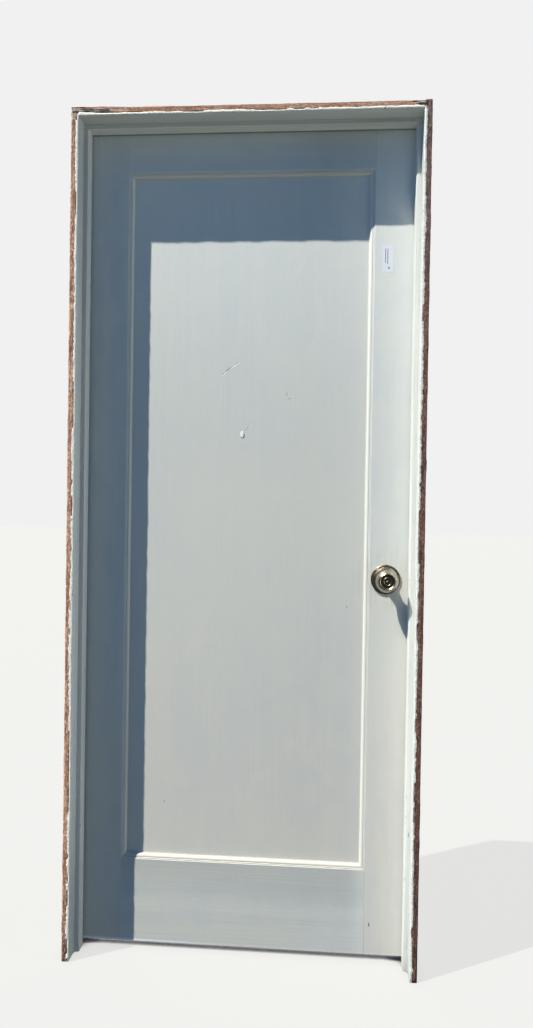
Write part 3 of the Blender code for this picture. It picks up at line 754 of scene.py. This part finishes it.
rawEdge = {
    "sides": {
        "hinge_side": ("hinge_jamb", 31.0),
        "latch_side": ("latch_jamb", 41.0),
        "head": ("head_jamb", 51.0),
    },
    "foot": 0.002,
    "step": 0.004,
    "start": 0.0050,
    "relief": 0.0009,
    "overhang": 0.0010,
    "spread": (0.0, 0.14, 0.3, 0.46, 0.62, 0.78, 0.9),
    "proud": 0.0040,
    "headLift": 0.0045,
    "liftLength": 0.25,
}


def roughEdge(name, arris, thickness, seed, material, lift):
    def profile(run, length):
        fade = min(1.0, run / 0.004, (length - run) / 0.004)
        over = rawEdge["overhang"] * (wave(run * 24.0, seed, 6.5) * 1.6 + 0.7 * wave(run * 120.0, seed, 7.5))
        over = max(-0.0008, over) + lift * max(0.0, 1.0 - run / rawEdge["liftLength"])
        section = [(rawEdge["start"], -0.0006)]
        for share in rawEdge["spread"]:
            aside = rawEdge["start"] + (thickness - 0.0008 - rawEdge["start"]) * share
            fibre = wave(run * 38.0, aside * 520.0, seed)
            lump = wave(run * 90.0, aside * 260.0, seed + 4.0)
            high = 0.00025 + rawEdge["relief"] * (0.5 * fibre + 0.45 * lump + 0.12)
            section.append((aside, max(-0.0002, high)))
        section += [
            (thickness + over * 0.6, -0.0001), (thickness + max(0.0001, over), -0.0016),
            (thickness + 0.0001, -0.0042), (thickness - 0.0016, -0.0042),
        ]
        return [(aside, min(high, high * fade)) for aside, high in section]

    layAlong(name, arris, profile, rawEdge["step"], material)


hingeLong = hingeJambHigh.z - 0.003
latchLong = latchJambHigh.z - 0.003
level = headHigh.x - headLow.x - 0.001
thickness = hingeJambHigh.x - hingeJambLow.x
for facing, edge, outward in jambEdges:
    # on the front the head's end has lifted, and the hinge jamb's fibres stand past its top
    proud, lift = (rawEdge["proud"], rawEdge["headLift"]) if facing == "front" else (0.0, 0.0)
    lines = arrises(edge, outward, rawEdge["foot"], hingeLong + proud, latchLong, headLow.x + 0.0005, level)
    for side, (jamb, seed) in rawEdge["sides"].items():
        roughEdge(facing + "_raw_edge_" + side, lines[side], thickness, seed + outward, looks[jamb],
                  lift if side == "head" else 0.0)
print("raw edges roughened")


# Splinters at both ends of the head

splinters = {
    "head_end_splinters": {
        "count": 8,
        "x": (hingeJambLow.x + 0.001, hingeJambLow.x + 0.080),
        "z": (soffit + 0.0126, soffit + 0.0158),
        "long": (0.012, 0.045),
        "seed": 5.0,
    },
    "head_far_splinters": {
        "count": 5,
        "x": (headHigh.x - 0.045, headHigh.x - 0.006),
        "z": (soffit + 0.0090, soffit + 0.0155),
        "long": (0.010, 0.028),
        "seed": 8.0,
    },
}


def splinterFinish(pale, dark):
    coat = Finish("splinterWood")
    grain = coat.cloud((22.0, 200.0, 260.0), 3.0, 0.6, 0.6)
    colour = coat.blend(coat.smooth(grain, 0.44, 0.56), pale, dark)
    return coat.dress(colour, 0.8 + grain * 0.1, coat.bump(grain, 0.0004))


def splinterBundle(name, sizes, material):
    # long slivers that lie on the head's front edge and lift at one end
    def within(key, share):
        low, high = sizes[key]
        return low + (high - low) * share

    spans = 6
    points = []
    faces = []
    for index in range(sizes["count"]):
        dice = [wave(index * 7.31 + throw * 3.7, sizes["seed"], 0.3) * 0.9 + 0.5 for throw in range(6)]
        dice = [min(1.0, max(0.0, value)) for value in dice]
        left = within("x", dice[0])
        level = within("z", dice[1])
        length = min(within("long", dice[2]), sizes["x"][1] + 0.012 - left)
        thick = 0.0006 + 0.0007 * dice[3]
        lift = 0.0006 + 0.0022 * dice[4]
        slope = (dice[5] - 0.5) * 0.10
        faces += tubeFaces(len(points), 4, spans)
        for station in range(spans + 1):
            share = station / spans
            half = thick * math.sin(math.pi * min(1.0, share * 0.92 + 0.06)) ** 0.6
            x = left + length * share
            y = frontEdge - lift * share * share
            z = level + slope * length * share + wave(share * 4.0 + index, sizes["seed"], 2.0) * 0.0006
            points += [(x, y + 0.0009, z - half), (x, y - half * 0.9, z - half * 0.5),
                       (x, y - half * 0.7, z + half * 0.6), (x, y + 0.0009, z + half)]
    solid(name, points, faces, material, "frame")


splinterWood = splinterFinish(tint(222, 210, 198), tint(132, 112, 100))
for name, sizes in splinters.items():
    splinterBundle(name, sizes, splinterWood)
print("splinters laid")


# Countersunk screws with one slot, in the hinge leaves and the lock's plates

screw = {
    "radius": 0.0041,
    "proud": 0.0003,
    "slotWidth": 0.0009,
    "slotDepth": 0.0007,
    "sides": 24,
    "hingeHoles": ((-0.032, 0.0085), (0.0, 0.0165), (0.032, 0.0085)),
    "strikeRise": 0.0215,
    "plateRise": 0.0225,
    "bevel": math.radians(3.0),
}


def slottedHead(centre, outward, turn, scale, first):
    # points and faces of one head: a shallow dome with a slot cut across it
    out = Vector(outward).normalized()
    side = out.cross(Vector((0.0, 0.0, 1.0))).normalized()
    up = side.cross(out).normalized()
    slot = side * math.cos(turn) + up * math.sin(turn)
    beyond = out.cross(slot)
    centre = Vector(centre)
    radius = screw["radius"] * scale
    half = screw["slotWidth"] / 2
    proud = screw["proud"]
    swing = math.acos(half / radius)
    steps = screw["sides"] // 2
    angles = [swing * (2 * step / steps - 1) for step in range(steps + 1)]
    points = []
    faces = []
    for lobe in (1, -1):
        faces += tubeFaces(first + len(points), steps + 1, 2)
        for level, shrink in ((-0.0008, 1.0), (proud * 0.3, 1.0), (proud, 0.82)):
            for angle in angles:
                across = half + (radius * math.cos(angle) - half) * shrink
                along = radius * math.sin(angle) * shrink
                points.append(centre + beyond * lobe * across + slot * lobe * along + out * level)
    floor = first + len(points)
    for across, along in ((-half, -radius), (half, -radius), (half, radius), (-half, radius)):
        points.append(centre + beyond * across + slot * along * 0.98 + out * (proud - screw["slotDepth"]))
    faces.append(tuple(range(floor, floor + 4)))
    return points, faces


def screwSet(name, heads, material, body):
    points = []
    faces = []
    for head in heads:
        morePoints, moreFaces = slottedHead(*head, len(points))
        points += morePoints
        faces += moreFaces
    solid(name, points, faces, material, body)


screwSteel = platedFinish("screwSteel", 0.15)
for number, place in enumerate(("top", "middle", "bottom")):
    for piece, body, outward in (("_jamb_hinge_leaf", "frame", 1.0), ("_door_hinge_leaf", "leaf", -1.0)):
        low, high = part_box(place + piece)
        middle = (low.z + high.z) / 2
        face = hingeReveal if outward > 0 else leafHinge
        heads = []
        for step, (rise, inset) in enumerate(screw["hingeHoles"]):
            spot = (face, low.y + inset, middle + rise)
            heads.append((spot, (outward, 0, 0), 0.5 + 1.3 * step + number + outward, 1.0))
        screwSet(place + piece + "_screws", heads, screwSteel, body)
strikeMiddle = (leafFront + backEdge) / 2
plateOut = (math.cos(screw["bevel"]), -math.sin(screw["bevel"]), 0.0)
plateX = lockStileHigh.x - math.tan(screw["bevel"]) * (lockStileHigh.y - strikeMiddle)
strikeHeads = []
plateHeads = []
for side in (-1, 1):
    strikeSpot = (latchReveal, strikeMiddle, knobZ + side * screw["strikeRise"])
    plateSpot = (plateX, strikeMiddle, knobZ + side * screw["plateRise"])
    strikeHeads.append((strikeSpot, (-1, 0, 0), 0.9 * side, 0.8))
    plateHeads.append((plateSpot, plateOut, 0.4 + side, 0.7))
screwSet("strike_screws", strikeHeads, screwSteel, "frame")
screwSet("latch_plate_screws", plateHeads, screwSteel, "leaf")
print("screws driven")


# Paper stock label on the lock stile, with plain ruled lines

label = {
    "left": leafHinge + 0.73125,
    "right": leafHinge + 0.75745,
    "low": leafFoot + 1.6806,
    "high": leafFoot + 1.7477,
    "paper": tint(228, 232, 239),
    "fibre": tint(212, 217, 226),
    "line": tint(58, 64, 78),
    "thick": 0.00008,
    "tilt": math.radians(-0.6),
    "rules": ((0.30, 0.34, 0.86, 0.0006), (0.50, 0.30, 0.86, 0.0006), (0.62, 0.12, 0.20, 0.0014)),
}
labelWide = label["right"] - label["left"]
labelTall = label["high"] - label["low"]


def labelFinish():
    # rules: place across the label, start, end and half width
    coat = Finish("labelPaper")
    fibre = coat.speckle(700.0, 3.0, 0.6)
    colour = coat.blend(fibre * 0.2, label["paper"], label["fibre"])
    for share, start, end, half in label["rules"]:
        aside = abs(coat.x - (label["left"] + labelWide * share))
        line = coat.fall(aside, half, half + 0.0004)
        span = (coat.z > label["low"] + labelTall * start) * (coat.z < label["low"] + labelTall * end)
        colour = coat.blend(line * span * 0.9, colour, label["line"])
    return coat.dress(colour, 0.6 + fibre * 0.1, coat.bump(fibre, 0.00003))


def stockLabel():
    # a thin sheet stuck on, one corner barely lifted
    columns = 8
    rows = 16
    middle = Vector((label["left"] + labelWide / 2, 0.0, label["low"] + labelTall / 2))
    turn = Matrix.Rotation(label["tilt"], 3, "Y")
    front = []
    for row in range(rows + 1):
        for column in range(columns + 1):
            u = column / columns
            v = row / rows
            spot = turn @ Vector((labelWide * (u - 0.5), 0.0, labelTall * (v - 0.5))) + middle
            curl = max(0.0, u - v - 0.75) ** 2 * 0.006
            spot.y = leafFront - 0.00016 - curl - 0.00004 * wave(u * 4.0, v * 7.0, 1.0)
            front.append(spot)
    points = front + [spot + Vector((0.0, label["thick"], 0.0)) for spot in front]
    shift = len(front)
    width = columns + 1
    faces = []
    for row in range(rows):
        for column in range(columns):
            near = row * width + column
            face = (near, near + 1, near + width + 1, near + width)
            faces += [face, tuple(corner + shift for corner in reversed(face))]
    rim = list(range(columns)) + [row * width + columns for row in range(rows)]
    rim += [rows * width + column for column in range(columns, 0, -1)]
    rim += [row * width for row in range(rows, 0, -1)]
    for index, corner in enumerate(rim):
        beside = rim[(index + 1) % len(rim)]
        faces.append((beside, corner, corner + shift, beside + shift))
    solid("stock_label", points, faces, labelFinish(), "leaf")


stockLabel()
print("label stuck on")


# Paint over the leaf's joints, and one blister on the panel

jointPaint = {
    "halfWidth": 0.0014,
    "high": 0.00006,
    "step": 0.006,
    "ridge": ((-1.0, 0.0), (-0.5, 0.7), (0.0, 1.0), (0.5, 0.7), (1.0, 0.0), (0.0, -1.0)),
    "fillet": ((-0.0007, -0.00006), (0.0003, 0.00008), (0.0014, 0.0007), (0.0012, 0.0020),
               (-0.0004, 0.0010)),
}
leafFaces = ((leafFront, -1.0), (lockStileHigh.y, 1.0))


def paintBridges():
    # a low ridge over each joint, on both faces
    points = []
    faces = []
    joints = [(bottomRailLow.z, bottomMouldingLow.z - 0.0004), (topMouldingHigh.z + 0.0004, topRailHigh.z)]
    for edge, outward in leafFaces:
        for jointX in (hingeStileHigh.x, lockStileLow.x):
            for low, high in joints:
                count = int((high - low) / jointPaint["step"])
                faces += tubeFaces(len(points), len(jointPaint["ridge"]), count)
                for index in range(count + 1):
                    z = low + (high - low) * index / count
                    middle = jointX + 0.0003 * wave(z * 20.0, jointX * 9.0, outward)
                    for share, rise in jointPaint["ridge"]:
                        y = edge + outward * jointPaint["high"] * rise
                        points.append((middle + jointPaint["halfWidth"] * share, y, z))
    material = leafFinish("paintBridge", "z", (7.0, 3.0, 5.0), (0.02, 0.17), cool=0.5)
    solid("paint_over_joints", points, faces, material, "leaf")


def paintFillets():
    # a thin bead of paint round the panel mouldings, a closed ring on each face
    points = []
    faces = []
    left, right = hingeStileHigh.x, lockStileLow.x
    foot, top = bottomRailHigh.z, topRailLow.z
    corners = [(left, foot, 1, 1), (right, foot, -1, 1), (right, top, -1, -1), (left, top, 1, -1)]
    section = jointPaint["fillet"]
    ring = len(section)
    for edge, outward in leafFaces:
        first = len(points)
        for cornerX, cornerZ, inX, inZ in corners:
            for inset, deep in section:
                points.append((cornerX + inX * inset, edge - outward * deep, cornerZ + inZ * inset))
        for side in range(4):
            near = first + side * ring
            far = first + (side + 1) % 4 * ring
            for corner in range(ring):
                beside = (corner + 1) % ring
                faces.append((near + corner, near + beside, far + beside, far + corner))
    material = leafFinish("paintFillet", "z", (1.0, 3.0, 7.0), (0.0, 0.12))
    solid("paint_in_moulding_joints", points, faces, material, "leaf")


paintBridges()
paintFillets()

blister = {
    "x": leafHinge + 0.39255,
    "z": leafFoot + 1.2825,
    "halfWide": 0.0060,
    "halfTall": 0.0098,
    "high": 0.0011,
    "lean": math.radians(-14.0),
    "paint": tint(238, 240, 237),
    "edge": tint(196, 200, 197),
    "rimShadow": tint(84, 84, 82),
}


def blisterFinish():
    # painted light and shade on the blister: lighter on its left and shaded on its right, with a painted
    # shadow where its lower right rim has lifted
    coat = Finish("blisterPaint")
    across = (coat.x - blister["x"]) * (1.0 / blister["halfWide"])
    down = (coat.z - blister["z"]) * (1.0 / blister["halfTall"])
    reach = (across * across + down * down) ** 0.5
    low = coat.smooth(across * 0.30 - down * 0.85, -0.10, 0.45)
    rim = coat.smooth(reach, 0.68, 0.82) * coat.fall(reach, 0.90, 1.0) * low
    fine = coat.speckle(500.0, 3.0, 0.6)
    colour = coat.blend(coat.smooth(across, -0.2, 0.5), blister["paint"], blister["edge"])
    colour = coat.blend(rim, colour, blister["rimShadow"])
    return coat.dress(colour, 0.45 + fine * 0.15, coat.bump(fine, 0.0002))


def paintBlister():
    # an oval dome that stands highest near its lower right rim
    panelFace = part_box("panel")[0].y
    turn = Matrix.Rotation(blister["lean"], 3, "Y")
    rings = 9
    sides = 36
    points = []
    for ring in range(rings + 1):
        part = 1.0 - ring / rings
        for side in range(sides):
            angle = 2 * math.pi * side / sides
            ragged = 1.0 + 0.07 * wave(math.cos(angle) * 2.0, math.sin(angle) * 2.0, 3.0)
            across = math.cos(angle) * blister["halfWide"] * part * ragged
            up = math.sin(angle) * blister["halfTall"] * part * ragged
            lift = 0.55 + 0.45 * (math.cos(angle) * 0.75 - math.sin(angle) * 0.65) * part
            high = blister["high"] * lift * (1.0 - part ** 5)
            spot = turn @ Vector((across, 0.0, up))
            points.append((blister["x"] + spot.x, panelFace - high + 0.0001, blister["z"] + spot.z))
    faces = tubeFaces(0, sides, rings)[:-1]
    solid("panel_paint_blister", points, faces, blisterFinish(), "leaf", True)


paintBlister()
print("joints bridged, blister raised")


# Floor, light and camera

floorLook = {
    "colour": tint(60, 60, 59),
    "glow": tint(224, 224, 222),
    "cloud": tint(54, 54, 53),
    "gapShade": tint(26, 30, 38),
    "reach": 0.05,
    "facing": (0.0, -0.643, 0.766),
    "open": (0.27, 0.37),
    "half": 30.0,
}


def floorFinish():
    coat = Finish("studioFloor")
    cloudy = coat.speckle(1.5, 3.0)
    fine = coat.speckle(140.0)
    colour = coat.blend(cloudy * 0.25, floorLook["colour"], floorLook["cloud"])
    # mostly its own glow, so that the door's shadow on it stays soft, with painted shade in narrow gaps where
    # the glow is dimmed
    reach = {"Distance": floorLook["reach"], "Normal": floorLook["facing"]}
    openness = coat.node("AmbientOcclusion", {"samples": 16, "only_local": False}, reach, "AO")
    near = coat.smooth(openness, *floorLook["open"]) * (0.87 + openness * 0.15)
    glow = coat.blend(near, floorLook["gapShade"], floorLook["glow"])
    shine = {"Emission Color": glow, "Emission Strength": 1.0}
    return coat.dress(colour, 0.9 + fine * 0.1, coat.bump(fine, 0.0002), 0.0, shine)


def layFloor():
    half = floorLook["half"]
    mesh = bpy.data.meshes.new("studio_floor")
    corners = [(-half, -half, 0.0), (half, -half, 0.0), (half, half, 0.0), (-half, half, 0.0)]
    mesh.from_pydata(corners, [], [(0, 1, 2, 3)])
    mesh.materials.append(floorFinish())
    floor = hold("studio_floor", mesh)
    floor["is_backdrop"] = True
    floor.visible_diffuse = False
    floor.visible_glossy = False


lamps = {
    "keyLight": {
        "kind": "SUN",
        "settings": {"energy": 7.7, "color": (1.0, 0.965, 0.885), "angle": math.radians(0.45)},
        "place": (0.0, 0.0, 0.0),
        "toward": (1.735, 1.0, -2.970),
    },
    # a large weak panel on the right lifts the sides that face it
    "fillLight": {
        "kind": "AREA",
        "settings": {"energy": 182.0, "color": (0.94, 1.0, 1.02), "size": 2.5},
        "place": (8.0, -1.25, 1.2),
        "toward": (-7.8, 1.25, -0.1),
    },
}


def hangLamps():
    for name, look in lamps.items():
        lamp = bpy.data.lights.new(name, look["kind"])
        for setting, value in look["settings"].items():
            setattr(lamp, setting, value)
        holder = hold(name, lamp)
        holder.location = look["place"]
        holder.rotation_euler = Vector(look["toward"]).to_track_quat("-Z", "Y").to_euler()


light = {
    "underGlow": (0.350, 0.332, 0.278),
    "groundGlow": (0.108, 0.144, 0.146),
    "skyGlow": (0.012, 0.126, 0.348),
    "lean": 0.78,
    "behindGlow": (0.66, 0.68, 0.69),
    "shineDark": (0.035, 0.033, 0.030),
    "shineLight": (0.180, 0.178, 0.165),
    "backdrop": (0.88, 0.88, 0.88),
    "horizon": (-0.25, 0.25),
    "below": (-0.25, -0.95),
    "behind": (0.05, 0.75),
    "right": (0.1, 0.9),
}


def lightAllRound():
    world = bpy.data.worlds.new("studioWorld")
    bpy.context.scene.world = world
    world.use_nodes = True
    room = NodeTree(world.node_tree)
    across, back, up = room.parts(room.node("TexCoord", {}, {}, "Generated"))
    glow = room.blend(room.even(up, *light["horizon"]), light["groundGlow"], light["skyGlow"])
    glow = room.blend(room.even(up, *light["below"]), glow, light["underGlow"])
    glow = room.dusk(glow, 1.0 - across * light["lean"])
    # a wide pale wall on the far side of the door
    glow = room.blend(room.even(back, *light["behind"]), glow, light["behindGlow"])
    # what the metal mirrors: a dark room that lightens to the right
    mirrored = room.blend(room.even(across, *light["right"]), light["shineDark"], light["shineLight"])
    glow = room.blend(room.node("LightPath", {}, {}, "Is Glossy Ray"), glow, mirrored)
    around = room.node("Background", {}, {"Color": glow})
    backdrop = room.node("Background", {}, {"Color": opaque(light["backdrop"])})
    direct = room.node("LightPath", {}, {}, "Is Camera Ray")
    chosen = room.node("MixShader", {}, {0: direct, 1: around, 2: backdrop})
    room.node("OutputWorld", {}, {"Surface": chosen})


cameraView = {
    "place": (0.6138, -1.8714, 1.1250),
    "focalPixels": 765.4,
    "pitch": 0.0131,
    "yaw": 0.0753,
    "roll": 0.0154,
    "photoHeight": 1028,
    "sensorHeight": 36.0,
}


def setCamera():
    turn = Matrix.Rotation(cameraView["roll"], 3, "Z")
    turn = turn @ Matrix.Rotation(cameraView["pitch"], 3, "X")
    turn = turn @ Matrix.Rotation(cameraView["yaw"], 3, "Y")
    right, down, forward = [Vector((row[0], row[2], -row[1])) for row in turn]
    data = bpy.data.cameras.new("photoCamera")
    data.sensor_fit = "VERTICAL"
    data.sensor_height = cameraView["sensorHeight"]
    data.lens = cameraView["focalPixels"] / cameraView["photoHeight"] * cameraView["sensorHeight"]
    data.clip_start = 0.05
    data.clip_end = 200.0
    camera = hold("photoCamera", data)
    facing = Matrix((right, -down, -forward)).transposed().to_4x4()
    camera.matrix_world = Matrix.Translation(cameraView["place"]) @ facing
    bpy.context.scene.camera = camera


layFloor()
hangLamps()
lightAllRound()
setCamera()
bpy.context.scene.view_settings.view_transform = "Standard"
print("floor, light and camera set")

sizes = {"cad": [list(corner) for corner in cadBounds], "visual": [list(corner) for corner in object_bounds()]}
